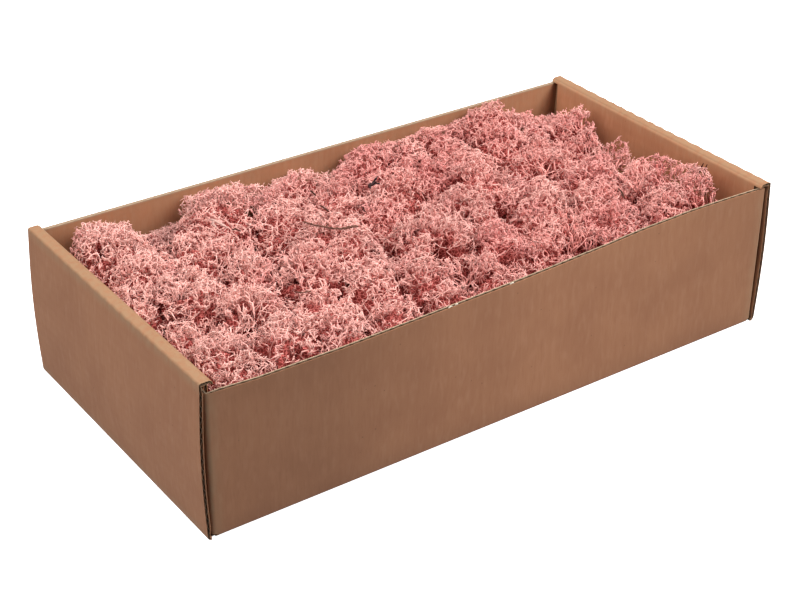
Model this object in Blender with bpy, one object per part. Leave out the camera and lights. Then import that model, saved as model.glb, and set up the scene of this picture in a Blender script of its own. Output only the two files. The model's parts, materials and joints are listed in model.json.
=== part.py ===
"""A folded cardboard tray packed with dyed reindeer lichen.

The tray is one sheet of corrugated board. It is modelled as its five panels, parted at the
creases: the floor, two long walls with a tab folded in at each end, and two ends that roll
over those tabs. The lichen is a bed of tufts, and each tuft is one solid that reaches from
the floor to the tips of its branches.
Metres, +Z up, origin under the middle of the tray, X along its length.
"""

import math

import bpy
from mathutils import Vector

MM = 0.001

# The tray
LENGTH = 400 * MM
WIDTH = 200 * MM
HEIGHT = 98.5 * MM
BOARD = 2.5 * MM
FOLD_RADIUS = 2.7 * MM
GAP = 0.3 * MM
TAB_LENGTH = 85 * MM
CORNER_SLIT = 3.5 * MM
ROLL_WIDTH = 3 * BOARD + 2 * GAP
WALL_TOP = HEIGHT - FOLD_RADIUS - GAP
TAB_FOOT = BOARD + 2 * GAP

# How far the packed lichen pushes the board out of flat
END_BOW = 1.8 * MM
BACK_BOW = 2.0 * MM
FRONT_LEANS_OUT = 4.2 * MM
FRONT_LEANS_IN = 4.0 * MM
FRONT_CROSSES_AT = 30 * MM
LEAN_FADES_OVER = 60 * MM

# How finely the board is divided
FOLD_STEPS = 3
END_ROWS = 6
WALL_ROWS = 3
FRONT_COLUMNS = 12
BACK_COLUMNS = 4

# The bed of lichen
BED_HALF_LENGTH = LENGTH / 2 - ROLL_WIDTH - 0.4 * MM
BED_HALF_WIDTH = WIDTH / 2 - BOARD - 0.4 * MM
BED_FLOOR = BOARD + GAP
TUFT_GAP = 0.4 * MM
DOME_CURVE = 18.0
FURROW = 6 * MM
LUMP = 2 * MM
RIM_STEP = 10 * MM
RINGS = (1.0, 0.86, 0.6, 0.3)

# Tufts, in millimetres: place along X and Y, height of the crown, tone
TUFTS = (
    (-170, 74, 104, "rose"),
    (-124, 84, 88, "dusk"),
    (-91, 70, 104, "dusty"),
    (-58, 48, 101, "dusty"),
    (-27, 80, 98, "dusty"),
    (-15, 48, 101, "rose"),
    (22, 76, 102, "deep"),
    (-118, 38, 99, "rose"),
    (-160, 38, 99, "rose"),
    (-178, 6, 98, "rose"),
    (-150, -6, 102, "dusty"),
    (-178, -32, 94, "rose"),
    (-169, -66, 102, "dusty"),
    (-167, -90, 100, "dusty"),
    (-134, -76, 103, "dusty"),
    (-129, -36, 102, "rose"),
    (-96, -56, 101, "rose"),
    (-104, -90, 101, "dusty"),
    (-112, 0, 99, "rose"),
    (-84, -20, 103, "rose"),
    (-60, -48, 102, "dusty"),
    (-48, 5, 103, "dusty"),
    (-16, 12, 103, "deep"),
    (-1, -30, 107, "dusty"),
    (24, -54, 102, "deep"),
    (-68, -86, 99, "rose"),
    (-30, -58, 100, "rose"),
    (-32, -86, 100, "rose"),
    (4, -86, 99, "rose"),
    (36, -84, 99, "rose"),
    (12, 36, 103, "rose"),
    (36, -6, 104, "dusty"),
    (62, 14, 103, "rose"),
    (46, 48, 101, "deep"),
    (78, 46, 101, "rose"),
    (66, -60, 102, "rose"),
    (78, -28, 103, "dusty"),
    (104, -50, 102, "rose"),
    (98, -84, 101, "deep"),
    (134, -84, 99, "rose"),
    (133, -54, 101, "rose"),
    (113, 16, 103, "rose"),
    (124, -18, 99, "deep"),
    (52, 84, 99, "rose"),
    (80, 80, 101, "rose"),
    (121, 84, 108, "rose"),
    (110, 56, 101, "rose"),
    (146, 62, 98, "deep"),
    (172, 50, 102, "rose"),
    (156, 4, 98, "rose"),
    (164, -38, 99, "deep"),
    (169, -68, 101, "rose"),
    (176, 84, 88, "rose"),
)

# Colours: red, green, blue, linear
BOARD_COLOUR = (0.36, 0.19, 0.10)
BOARD_ROUGHNESS = 0.9
MOSS_COLOURS = {
    "rose": (0.62, 0.22, 0.20),
    "deep": (0.58, 0.15, 0.15),
    "dusty": (0.66, 0.32, 0.25),
    "dusk": (0.30, 0.15, 0.16),
}
MOSS_ROUGHNESS = 0.95


def clear_scene():
    """Removes whatever the new file starts with."""
    for old in list(bpy.data.objects):
        bpy.data.objects.remove(old, do_unlink=True)


def make_material(name, colour, roughness):
    """A plain Principled material."""
    material = bpy.data.materials.new(name)
    material.use_nodes = True
    shader = material.node_tree.nodes["Principled BSDF"]
    shader.inputs["Base Color"].default_value = (*colour, 1.0)
    shader.inputs["Roughness"].default_value = roughness
    shader.inputs["Metallic"].default_value = 0.0
    return material


def add_object(name, points, faces, material):
    """One named object from points and faces, shaded smooth up to sharp creases."""
    mesh = bpy.data.meshes.new(name)
    mesh.from_pydata([tuple(point) for point in points], [], faces)
    mesh.materials.append(material)
    mesh.shade_smooth()
    mesh.set_sharp_from_angle(angle=math.radians(35))
    built = bpy.data.objects.new(name, mesh)
    bpy.context.scene.collection.objects.link(built)
    return built


def steps(first, last, count):
    """Evenly spaced values from first to last, both included."""
    return [first + (last - first) * i / count for i in range(count + 1)]


def front_lean(x, z):
    """How far the front wall leans in at a place on it: out on the left, in on the right."""
    half = LENGTH / 2
    if x < FRONT_CROSSES_AT:
        part = max(0.0, (x + half) / (FRONT_CROSSES_AT + half))
        lean = -FRONT_LEANS_OUT * math.sin(math.pi * part)
    else:
        part = min(1.0, (x - FRONT_CROSSES_AT) / (half - FRONT_CROSSES_AT))
        lean = FRONT_LEANS_IN * math.sin(math.pi * part)
    return lean * z / HEIGHT


def belly(z, depth):
    """How far a panel held at its top and foot bows out at a height."""
    return depth * math.sin(math.pi * min(z, HEIGHT) / HEIGHT)


def fold_foot(depth):
    """The crease at a panel's foot, from the floor up: distance in from the face, height."""
    bend = FOLD_RADIUS - depth
    foot = []
    for angle in steps(90, 0, FOLD_STEPS):
        turn = math.radians(angle)
        foot.append((FOLD_RADIUS - bend * math.cos(turn), FOLD_RADIUS - bend * math.sin(turn)))
    return foot


def rim_edges(faces):
    """The edges that only one face uses, in that face's own direction."""
    directed = set()
    for face in faces:
        for i, corner in enumerate(face):
            directed.add((corner, face[(i + 1) % len(face)]))
    return sorted(edge for edge in directed if (edge[1], edge[0]) not in directed)


def folded_sheet(name, outer_grid, inner_grid, is_board, turned, material):
    """A folded sheet of board from grids of points on its outer and its inner face.

    A turned sheet is the same one swung half a turn about the tray's middle.
    """
    side = -1 if turned else 1
    width = len(outer_grid[0])
    outer = []
    for i in range(len(outer_grid) - 1):
        for j in range(width - 1):
            if is_board(i, j):
                corner = i * width + j
                outer.append((corner, corner + 1, corner + width + 1, corner + width))
    shift = len(outer_grid) * width
    inner = [tuple(corner + shift for corner in reversed(face)) for face in outer]
    rims = [(b, a, a + shift, b + shift) for a, b in rim_edges(outer)]
    faces = outer + inner + rims
    points = [point for grid in (outer_grid, inner_grid) for row in grid for point in row]
    used = sorted({corner for face in faces for corner in face})
    renumbered = {old: new for new, old in enumerate(used)}
    faces = [tuple(renumbered[corner] for corner in face) for face in faces]
    points = [(side * points[old][0], side * points[old][1], points[old][2]) for old in used]
    return add_object(name, points, faces, material)


def wall_stations(columns, depth):
    """Round a long wall and its tabs: place along X, distance in from the wall's face."""
    tab_face = LENGTH / 2 - BOARD - GAP
    bend = FOLD_RADIUS - depth
    fold = []
    for angle in steps(0, 90, FOLD_STEPS):
        turn = math.radians(angle)
        along = tab_face - FOLD_RADIUS + bend * math.cos(turn)
        fold.append((along, FOLD_RADIUS - bend * math.sin(turn)))
    left = [(depth - tab_face, TAB_LENGTH)] + [(-along, inward) for along, inward in fold]
    right = [(-along, inward) for along, inward in reversed(left)]
    reach = tab_face - FOLD_RADIUS
    middle = [(x, depth) for x in steps(-reach, reach, columns)[1:-1]]
    return left + middle + right


def wall_grid(columns, turned, depth):
    """The points of a long wall at one depth in its board."""
    foot = [(inward - depth, z) for inward, z in fold_foot(depth)]
    upright = [(0.0, z) for z in steps(TAB_FOOT, WALL_TOP, WALL_ROWS)]
    grid = []
    for tuck, z in foot + upright:
        row = []
        for x, inward in wall_stations(columns, depth):
            if turned:
                shift = -belly(z, BACK_BOW) if inward < FOLD_RADIUS else 0.0
            else:
                shift = front_lean(x, z)
            row.append((x, inward + tuck + shift - WIDTH / 2, z))
        grid.append(row)
    return grid


def build_long_wall(name, turned, columns, material):
    """A long wall: creased at its foot, with a tab folded in at each end."""
    grids = [wall_grid(columns, turned, depth) for depth in (0.0, BOARD)]
    first_main = FOLD_STEPS + 1
    last_main = len(grids[0][0]) - 2 - first_main

    def is_board(i, j):
        return first_main <= j <= last_main or i > FOLD_STEPS

    return folded_sheet(name, *grids, is_board, turned, material)


def end_profile(depth):
    """An end's path at one depth in its board: distance in from the face, height."""
    bend = FOLD_RADIUS - depth
    shoulder = HEIGHT - FOLD_RADIUS
    outer = [(depth, z) for z in steps(TAB_FOOT, shoulder, END_ROWS)]
    rise = []
    for angle in steps(0, 90, FOLD_STEPS)[1:]:
        turn = math.radians(angle)
        rise.append((FOLD_RADIUS - bend * math.cos(turn), shoulder + bend * math.sin(turn)))
    fall = [(ROLL_WIDTH - inward, z) for inward, z in reversed(rise)]
    inner = [(ROLL_WIDTH - depth, z) for z in steps(shoulder, BED_FLOOR, 2)]
    return fold_foot(depth) + outer + rise + fall + inner


def end_grid(columns, depth):
    """The points of an end at one depth in its board."""
    grid = []
    for inward, z in end_profile(depth):
        shift = belly(z, END_BOW) if inward < ROLL_WIDTH / 2 else 0.0
        grid.append([(inward - shift - LENGTH / 2, y, z) for y in columns])
    return grid


def build_end(name, turned, material):
    """An end: up from the floor, over the top and down inside as a narrower panel."""
    panel_edge = WIDTH / 2 - BOARD - CORNER_SLIT
    columns = (WIDTH / 2, panel_edge, -panel_edge, -WIDTH / 2)
    grids = [end_grid(columns, depth) for depth in (0.0, BOARD)]
    roll_ends_at = len(grids[0]) - 3

    def is_board(i, j):
        return i < roll_ends_at or j == 1

    return folded_sheet(name, *grids, is_board, turned, material)


def build_floor(material):
    """The flat floor between the creases."""
    half_x = LENGTH / 2 - FOLD_RADIUS - GAP
    half_y = WIDTH / 2 - FOLD_RADIUS - GAP
    corners = [(-half_x, -half_y), (half_x, -half_y), (half_x, half_y), (-half_x, half_y)]
    points = [(x, y, 0.0) for x, y in corners] + [(x, y, BOARD) for x, y in corners]
    faces = [(3, 2, 1, 0), (4, 5, 6, 7)]
    for i in range(4):
        following = (i + 1) % 4
        faces.append((i, following, following + 4, i + 4))
    return add_object("tray_floor", points, faces, material)


def clip(corners, normal, limit):
    """The part of a convex outline that lies at or beyond a line."""
    kept = []
    for i, here in enumerate(corners):
        after = corners[(i + 1) % len(corners)]
        depth_here = here.dot(normal) - limit
        depth_after = after.dot(normal) - limit
        if depth_here >= 0:
            kept.append(here)
        if (depth_here >= 0) != (depth_after >= 0):
            kept.append(here.lerp(after, depth_here / (depth_here - depth_after)))
    return kept


def tuft_outline(index, tufts):
    """A tuft's share of the bed: where its dome stands above every other tuft's."""
    half_x = BED_HALF_LENGTH
    half_y = BED_HALF_WIDTH
    outline = [
        Vector((-half_x, -half_y)),
        Vector((half_x, -half_y)),
        Vector((half_x, half_y)),
        Vector((-half_x, half_y)),
    ]
    centre, crown = tufts[index]
    for other, (other_centre, other_crown) in enumerate(tufts):
        if other == index:
            continue
        apart = centre - other_centre
        balance = centre.length_squared - other_centre.length_squared
        balance -= (crown - other_crown) / DOME_CURVE
        limit = balance / 2 / apart.length + TUFT_GAP
        outline = clip(outline, apart.normalized(), limit)
    return outline


def divide_outline(outline):
    """Puts points along an outline's long edges."""
    divided = []
    for i, here in enumerate(outline):
        after = outline[(i + 1) % len(outline)]
        pieces = max(1, round((after - here).length / RIM_STEP))
        divided.extend(here.lerp(after, piece / pieces) for piece in range(pieces))
    return divided


def lumps(place):
    """Small rises and hollows over the crowns."""
    x = place.x / MM
    y = place.y / MM
    return LUMP * math.sin(x / 5.0 + 1.3 * math.sin(y / 9.0)) * math.cos(y / 6.0 - x / 17.0)


def furrow_depth(place, ring):
    """How far the crown falls at its edge, except where it is pressed to a wall in front."""
    pressed = place.y < -BED_HALF_WIDTH + MM or place.x < -BED_HALF_LENGTH + MM
    if pressed:
        return 0.0
    nearness = max(0.0, (ring - RINGS[-1]) / (1 - RINGS[-1]))
    return FURROW * nearness ** 3


def lean_with_front(x, y, z):
    """Moves a point of the bed with the front wall that it is packed against."""
    from_front = y + WIDTH / 2
    share = max(0.0, 1 - from_front / LEAN_FADES_OVER)
    return Vector((x, y + share * front_lean(x, z), z))


def build_tuft(name, index, tufts, material):
    """One tuft: a packed column with a lumpy domed crown."""
    centre, crown = tufts[index]
    rim = divide_outline(tuft_outline(index, tufts))
    middle = sum(rim, Vector((0.0, 0.0))) / len(rim)

    def crown_point(place, ring):
        height = crown - DOME_CURVE * (place - centre).length_squared
        height += lumps(place) - furrow_depth(place, ring)
        return lean_with_front(place.x, place.y, height)

    count = len(rim)
    points = [lean_with_front(place.x, place.y, BED_FLOOR) for place in rim]
    for ring in RINGS:
        points.extend(crown_point(middle.lerp(place, ring), ring) for place in rim)
    points.append(crown_point(middle, 0.0))
    top = len(points) - 1
    faces = [tuple(reversed(range(count)))]
    for level in range(len(RINGS)):
        for i in range(count):
            following = (i + 1) % count
            low = level * count
            high = low + count
            faces.append((low + i, low + following, high + following, high + i))
    last = len(RINGS) * count
    for i in range(count):
        faces.append((last + i, last + (i + 1) % count, top))
    return add_object(name, points, faces, material)


def build_tray():
    """The folded tray, panel by panel."""
    board = make_material("board", BOARD_COLOUR, BOARD_ROUGHNESS)
    build_floor(board)
    build_long_wall("tray_front_wall", False, FRONT_COLUMNS, board)
    build_long_wall("tray_back_wall", True, BACK_COLUMNS, board)
    build_end("tray_left_end", False, board)
    build_end("tray_right_end", True, board)


def build_moss():
    """The bed of tufts that fills the tray."""
    tones = {
        tone: make_material("moss_" + tone, colour, MOSS_ROUGHNESS)
        for tone, colour in MOSS_COLOURS.items()
    }
    tufts = [(Vector((x * MM, y * MM)), crown * MM) for x, y, crown, _ in TUFTS]
    for index, (_, _, _, tone) in enumerate(TUFTS):
        build_tuft(f"moss_tuft_{index + 1:02d}", index, tufts, tones[tone])


clear_scene()
build_tray()
build_moss()
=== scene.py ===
import json
import math
from collections import namedtuple

import bmesh
import bpy
import numpy as np
from mathutils import Matrix, Vector
from mathutils.bvhtree import BVHTree
from mathutils.kdtree import KDTree


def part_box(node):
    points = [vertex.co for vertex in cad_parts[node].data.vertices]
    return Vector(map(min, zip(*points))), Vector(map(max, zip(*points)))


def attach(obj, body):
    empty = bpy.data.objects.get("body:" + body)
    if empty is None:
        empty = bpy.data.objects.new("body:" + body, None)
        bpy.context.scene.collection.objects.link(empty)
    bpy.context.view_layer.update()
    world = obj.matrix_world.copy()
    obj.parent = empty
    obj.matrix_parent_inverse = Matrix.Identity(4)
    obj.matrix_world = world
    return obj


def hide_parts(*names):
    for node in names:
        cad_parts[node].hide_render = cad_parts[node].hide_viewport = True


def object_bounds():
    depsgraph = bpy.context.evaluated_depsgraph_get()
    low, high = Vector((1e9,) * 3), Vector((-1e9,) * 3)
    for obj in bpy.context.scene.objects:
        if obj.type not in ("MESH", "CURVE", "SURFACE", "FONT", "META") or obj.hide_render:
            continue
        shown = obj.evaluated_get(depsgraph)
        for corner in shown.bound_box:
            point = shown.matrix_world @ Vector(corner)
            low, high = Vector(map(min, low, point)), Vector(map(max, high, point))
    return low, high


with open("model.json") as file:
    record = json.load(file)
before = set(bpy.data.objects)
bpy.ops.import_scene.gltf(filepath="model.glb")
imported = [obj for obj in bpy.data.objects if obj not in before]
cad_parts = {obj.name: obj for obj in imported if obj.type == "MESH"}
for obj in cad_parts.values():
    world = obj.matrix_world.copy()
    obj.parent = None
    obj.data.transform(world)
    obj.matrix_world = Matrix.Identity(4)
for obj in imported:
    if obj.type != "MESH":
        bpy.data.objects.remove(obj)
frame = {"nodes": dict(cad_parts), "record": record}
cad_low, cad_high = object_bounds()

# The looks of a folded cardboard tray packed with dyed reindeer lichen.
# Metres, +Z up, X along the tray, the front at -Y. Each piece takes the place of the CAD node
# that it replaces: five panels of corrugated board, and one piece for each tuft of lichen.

MM = 0.001

# The tray, as the CAD model has it
LENGTH = 400 * MM
WIDTH = 200 * MM
HEIGHT = 98.5 * MM
BOARD = 2.5 * MM
FOLD_RADIUS = 2.7 * MM
GAP = 0.3 * MM
TAB_LENGTH = 85 * MM
CORNER_SLIT = 3.5 * MM
ROLL_WIDTH = 3 * BOARD + 2 * GAP
WALL_TOP = HEIGHT - FOLD_RADIUS - GAP
END_BOW = 1.8 * MM
BACK_BOW = 1.72 * MM
FRONT_LEANS_OUT = 4.12 * MM
FRONT_LEANS_IN = 4.0 * MM
FRONT_CROSSES_AT = 30 * MM

# How far the front wall's rim stands below its node's: X and drop, in millimetres
RIM_DROP = ((-200, 4.4), (-165, 5.2), (-147, 4.6), (-117, 4.0), (-80, 2.9), (-46, 2.5), (-4, 2.8),
            (70, 3.2), (100, 2.1), (121, 1.7), (139, 1.0), (162, 0.7), (189, 0.3))

# The corrugated board, and how finely it is divided: along the outer liner, the fluted medium and
# the inner liner, up a long wall, and round each bend
LINER = 0.38 * MM
MEDIUM = 0.26 * MM
FLUTE_PITCH = 6.4 * MM
PAPER_STEPS = (6 * MM, FLUTE_PITCH / 6, 6 * MM)
WALL_STEP = 12 * MM
BEND_STEP = math.radians(18)
CREASE_CRUSH = 0.5
CREASE_REACH = 3 * MM
ROLL_CREASE = 1.3 * MM
SCALLOP_PITCH = 10.5 * MM
SCALLOP_DEPTH = 0.8 * MM
SCALLOP_REACH = 3.2 * MM
ROLL_COLUMN = 2.6 * MM
EDGE_WEAR = 1.2 * MM
EDGE_SPREAD = 0.35 * MM
INNER_PALING = 0.45
BACK_EDGE_SPREAD = 1.7 * MM

# The lichen's surface. FURROW_REACH and SHADE_REACH count grid steps, and shakes are shares of a
# spacing
BED_HALF_X = LENGTH / 2 - ROLL_WIDTH - 1.2 * MM
BED_HALF_Y = WIDTH / 2 - BOARD - 1.2 * MM
GRID_STEP = 1.5 * MM
FURROW_REACH = 6
FURROW_FILL = 0.3
WALL_FADE = 16 * MM
SHADE_REACH = 8
# Where the painted shade on deep branches starts below the general level, and how much deeper it is full
SHADE_START = 7.0 * MM
SHADE_DEPTH = 25 * MM
HEAD_SPACING = 19 * MM
HEAD_RADIUS = 14 * MM
HEAD_HEIGHT = 9 * MM
HEAD_STAGGER = 4.0 * MM
HEAD_SHAKE = 0.34
DOME_LEVEL = 0.85
DOME_FOOT = 0.05
LIFT_FADE = 26 * MM
CLUMP_WIDTH = 9 * MM
CLUMP_HEIGHT = 2.1 * MM
HUMP_WIDTH = 24 * MM
HUMP_HEIGHT = 5.0 * MM
HOLLOW_DROP = 18 * MM
HOLLOW_WAVE = 8 * MM
HOLLOW_WARP = 3.5 * MM
TIP_SINK = 1.8 * MM
FRONT_STRIP = 20 * MM
FRONT_DIP = 4 * MM
LOW_CROWN = 50 * MM
BED_DEPTH = 14 * MM
BED_HOLLOW = 24 * MM
BED_LUMPS = (7 * MM, 2.2 * MM)
BED_SHRINK = 0.02
AXIS_SINK = 55 * MM
WALL_CLEARANCE = 0.8 * MM
RIM_OVERHANG = 1.5 * MM
RAY_HEIGHT = 200 * MM
SLOPE_STEP = 0.5 * MM
PRESS = 0.12

# The lichen's branches. A habit gives, from the tips down to the root, how far each level of
# branches reaches, how many join there and how thick they are, then its prongs' length and its depth
Habit = namedtuple("Habit", "steps forks radii prong depth")
DENSE = Habit(steps=(1.2 * MM, 1.8 * MM, 2.8 * MM, 4.2 * MM, 5.5 * MM), forks=(2.4, 2.3, 2.2, 1.9, 1.7),
              radii=(0.27 * MM, 0.30 * MM, 0.34 * MM, 0.40 * MM, 0.48 * MM, 0.58 * MM, 0.7 * MM),
              prong=1.75 * MM, depth=25 * MM)
OPEN = Habit(steps=(1.8 * MM, 2.8 * MM, 4.2 * MM, 7.5 * MM, 8.5 * MM), forks=(2.5, 2.3, 2.1, 1.6, 1.4),
             radii=(0.26 * MM, 0.32 * MM, 0.40 * MM, 0.48 * MM, 0.58 * MM, 0.68 * MM, 0.85 * MM),
             prong=2.1 * MM, depth=33 * MM)
WIRY = Habit(steps=(2.4 * MM, 3.4 * MM, 4.4 * MM, 5.4 * MM, 6.4 * MM), forks=(2.2, 2.1, 2.0, 1.7, 1.5),
             radii=(0.14 * MM, 0.16 * MM, 0.18 * MM, 0.22 * MM, 0.26 * MM, 0.32 * MM, 0.4 * MM),
             prong=1.9 * MM, depth=27 * MM)
SIDES = 3
TIP_SPACING = 2.5 * MM
TIP_STAGGER = 0.8 * MM
TIP_SHAKE = 0.32
PRONG_TILT = (62, 102)
PRONG_SHARE = 0.48
WEB_LINKS = 2
WEB_REACH = 4.5 * MM
PRONG_CURL = 0.05
STEM_SWAY = 0.10
STEM_CURL = 0.14
SPUR_SHARE = 0.5
UNDER_SPACING = 4.0 * MM
UNDER_SHAKE = 0.35
UNDER_REACHES = (0.3, 0.5)
UNDER_DEPTH = (3 * MM, 7 * MM)
UNDER_LENGTH = 4.5 * MM
UNDER_RADIUS = 0.38 * MM
UNDER_SPURS = 4
UNDER_SPUR = 3.0 * MM
OPEN_TUFTS = (8, 17, 26, 27, 28, 36, 42, 49, 52)
OPEN_SHARE = 0.45
OPEN_PATCH = 45 * MM
OPEN_BASE = 0.35
OPEN_SWING = 0.9
OPEN_WEIGHT = 0.6
FRONT_OPEN = 0.4
SLOPE_THINNING = 0.5
LOOSE_THINNING = 0.7
LOOSE_STAGGER = 1.2
HOLLOW_THINNING = 0.85
HOLLOW_PAINTED_SHADE = 1.3
JOINT_SHAKE = 0.14
TINT_SHAKE = 0.12

# Slow and quick bends of whole tufts: wavelength, amount and seed
WARPS = ((9 * MM, 1.1 * MM, 400), (3.1 * MM, 0.3 * MM, 401))

# Seeds of the random draws
HEAD_SEED = 1
LIFT_SEED = 2
TIP_SEEDS = (3, 4)
UNDER_SEED = 5
THINNING_SEED = 6
HUMP_SEED = 7
CLUMP_SEED = 8
HOLLOW_SEED = 9
UNDER_DEPTH_SEED = 10
OPEN_SEED = 30
TUFT_SEED = 100
SCRAP_SEED = 900

# Hollows between the heads, sunk into the lichen, their bed darkened with painted shade: place along X and
# Y and radius, in millimetres
HOLLOWS = (
    (-188, -63, 6), (-188, -49, 6), (-187, -34, 5), (-184, -18, 5), (-183, -93, 6),
    (-176, -20, 6), (-166, 70, 5), (-162, -10, 5), (-159, -70, 6), (-152, 17, 5),
    (-151, -80, 6), (-148, -43, 8), (-136, -97, 11), (-127, -96, 7), (-120, 10, 6),
    (-105, -31, 7), (-101, 35, 6), (-95, -11, 7), (-92, -19, 5), (-92, 16, 8), (-89, 8, 9),
    (-84, -9, 6), (-79, -68, 5), (-68, 62, 4), (-50, -95, 7), (-50, -85, 7), (-50, -72, 5),
    (-40, -25, 6), (-27, -20, 4), (-24, -85, 6), (-11, -57, 11), (-9, -44, 8), (-8, -13, 7),
    (-2, 13, 6), (2, 42, 5), (14, -75, 10), (22, -3, 6), (30, -18, 6), (36, 15, 5),
    (38, -93, 7), (43, 53, 4), (46, 22, 5), (50, 20, 6), (62, -93, 7), (62, -70, 6),
    (67, -51, 6), (70, 32, 4), (88, -75, 7), (114, -75, 8), (116, -84, 6), (128, -56, 9),
    (187, 27, 13), (190, 0, 9), (191, -27, 6), (189, -77, 10),
)

# Where the lichen stops short of the tray's ends, as X at places along Y, and how high it stands
# along the back wall, as Z at places along X, in millimetres
RIGHT_EDGE = ((-100, 167), (-85, 166), (-72, 178), (-55, 185), (-40, 180), (-20, 170), (0, 168),
              (11, 160), (24, 166), (39, 178), (54, 185), (100, 186))
LEFT_EDGE = ((-100, -192), (58, -192), (78, -184), (91, -176), (100, -168))
BACK_HEIGHT = (
    (-176, 104), (-165, 101), (-154, 97), (-147, 96), (-140, 88), (-134, 83), (-119, 84), (-105, 85),
    (-103, 100), (-90, 100), (-68, 99), (-56, 95), (-47, 89), (-34, 95), (-25, 97), (-17, 94),
    (-10, 86), (4, 89), (13, 94), (22, 101), (34, 99), (47, 97), (64, 97), (75, 100), (87, 97),
    (99, 98), (109, 100), (116, 103), (125, 106), (131, 104), (134, 95), (145, 93), (157, 90),
    (167, 84), (174, 84), (189, 82),
)
BACK_STRIP = (70, 83)
BACK_FALL = 0.65
EDGE_ROUND = 10 * MM
EDGE_DROP = 9 * MM
EDGE_DEEPEST = 1.8
EDGE_THINNING = 0.4
RIGHT_LIFT = ((-90, 2), (-79, 4), (-70, 5), (-64, 3), (-56, 3), (-48, 4), (-42, 6), (-35, 3), (-27, 1),
              (-20, 0), (-14, 6), (-6, 9), (0, 6), (10, 5), (18, 6), (28, 8), (34, 6), (42, 1), (50, 0))
RIGHT_STRIP = (148, 162)

# Scraps caught in the lichen: a finish, and strands that each have a radius, how flat they are,
# and a path, in millimetres
Scrap = namedtuple("Scrap", "name finish strands")
SCRAPS = (
    Scrap("twig_brown", "bark", (
        (0.6, 0.9, ((-67, 14, 100.5), (-66.5, 7.5, 102), (-65, 2.5, 102.5), (-62, -3, 103),
                    (-59, -8.5, 103.5), (-54.5, -12.5, 104), (-50, -14, 104.5))),
        (1.2, 0.6, ((-57, -10.5, 103.6), (-53.5, -13, 104.3), (-50, -14, 104.7), (-47, -15, 104))),
        (0.38, 1.0, ((-62, -3, 103), (-60, -3.5, 105))),
        (0.35, 1.0, ((-53.5, -13, 104), (-53, -15.5, 105))))),
    Scrap("bark_bit_1", "dark_bark", ((0.75, 0.6, ((-34.5, 56, 94), (-36, 50, 95), (-36, 47.5, 94.5))),)),
    Scrap("bark_bit_2", "dark_bark", (
        (0.75, 0.6, ((-48, 24.5, 101), (-49.5, 18, 103), (-51.5, 9.5, 104.5))),)),
    Scrap("husk_grey", "grey_husk", (
        (1.9, 0.6, ((-2.6, 40.2, 94.8), (-0.4, 38.8, 96), (1.6, 37.8, 97))),
        (0.9, 0.7, ((-0.5, 39, 95.8), (2.4, 38, 100.5))),
        (0.7, 0.7, ((0.5, 38, 96.5), (-0.5, 35, 99))),
        (0.7, 0.8, ((-2, 39, 95), (-4.4, 35.5, 95.5))),
        (0.6, 0.8, ((1, 38, 96.5), (4, 35.5, 96))))),
    Scrap("twig_short", "dark_bark", (
        (0.6, 0.8, ((115.5, -55, 99), (111, -63, 101.5), (102, -75, 104.5))),)),
    Scrap("bark_tips", "dark_bark", (
        (0.6, 0.8, ((173.6, -65, 97), (173.8, -65.5, 101), (174.3, -66.8, 104.8))),
        (0.5, 0.8, ((175.8, -67, 97), (175.8, -67.5, 101), (176.1, -68.2, 104.2))))),
    Scrap("needle_brown", "bark", (
        (0.45, 0.8, ((-113.5, -51.5, 100), (-112.5, -56, 101.5), (-111, -58, 102))),
        (0.7, 0.7, ((-111.5, -57.5, 101.8), (-109, -58.5, 102), (-107, -58, 101.5))))),
    Scrap("stem_red", "red_stem", (
        (0.4, 0.9, ((-82, -87, 100.5), (-78, -89, 101.8), (-74.5, -91, 102), (-71, -93.5, 100.5),
                    (-67.5, -94.5, 97.5))),)),
    Scrap("chip_pale", "pale_chip", (
        (1.0, 0.35, ((-43, -63, 103), (-40.5, -65, 104), (-37.5, -66.5, 105))),)),
    Scrap("stem_pale", "pale_stem", (
        (1.05, 0.8, ((-104.5, 57.5, 94), (-104, 52.5, 95.5), (-102.5, 48, 95), (-99.5, 43, 93))),
        (0.8, 0.9, ((-104, 52.5, 95.3), (-106.5, 49, 95.5), (-107, 44, 95))))),
    Scrap("bark_bit_3", "dark_bark", ((0.8, 0.6, ((-98, 42, 92), (-96, 41, 92.5), (-94, 40, 91))),)),
    Scrap("rim_fibres", "paper_fibre", (
        (0.5, 0.7, ((-47.5, -102.7, 92.8), (-46, -102.9, 93.5), (-45, -102.6, 93.1))),
        (0.5, 0.7, ((-43, -102.4, 92.9), (-41.8, -102.6, 93.5), (-41, -102.4, 93.0))),
        (0.45, 0.7, ((-4, -101.1, 92.7), (-2.5, -101.3, 93.3), (-1, -101.0, 92.8))))),
)
SCRAP_SIDES = 7
SCRAP_STEPS = 5
SCRAP_ROUGHNESS = 0.14

# Fans of long bare stems on the near sides of heads: where each stands, in millimetres, which way
# they lean, in degrees, and how far
FANS = (
    (169, 43), (153, -9), (138, -49), (162, -49), (160, -80), (61, -79), (74, -80), (-4, 47),
    (-109, 22), (-10, -68), (-88, -17), (-151, 5), (109, 7), (23, -14), (-135, -41),
)
FAN_AZIMUTH = 55
FAN_SPREAD = 62
FAN_RISE = (30, 58)
FAN_STEMS = 8
FAN_LENGTH = (12 * MM, 17 * MM)
FAN_SINK = 15 * MM
FAN_RADII = (0.46 * MM, 0.38 * MM, 0.30 * MM, 0.26 * MM)
FAN_HOLLOW = 9
FAN_MARGIN = 3 * MM
FAN_SHAKE = 1.3 * MM
FAN_TWIG = 2.6 * MM
# How much of the painted depth shade the fans' stems take
FAN_PAINTED_SHADE_SHARE = 0.3

# The photographed view: a camera round a target, in metres and degrees
CAMERA_TARGET = Vector((-0.0212, -0.0204, 0.0493))
CAMERA_DISTANCE = 1.0272
CAMERA_AZIMUTH = -35.46
CAMERA_ELEVATION = 30.39
CAMERA_ROLL = 0.58
CAMERA_LENS = 77.73

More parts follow.
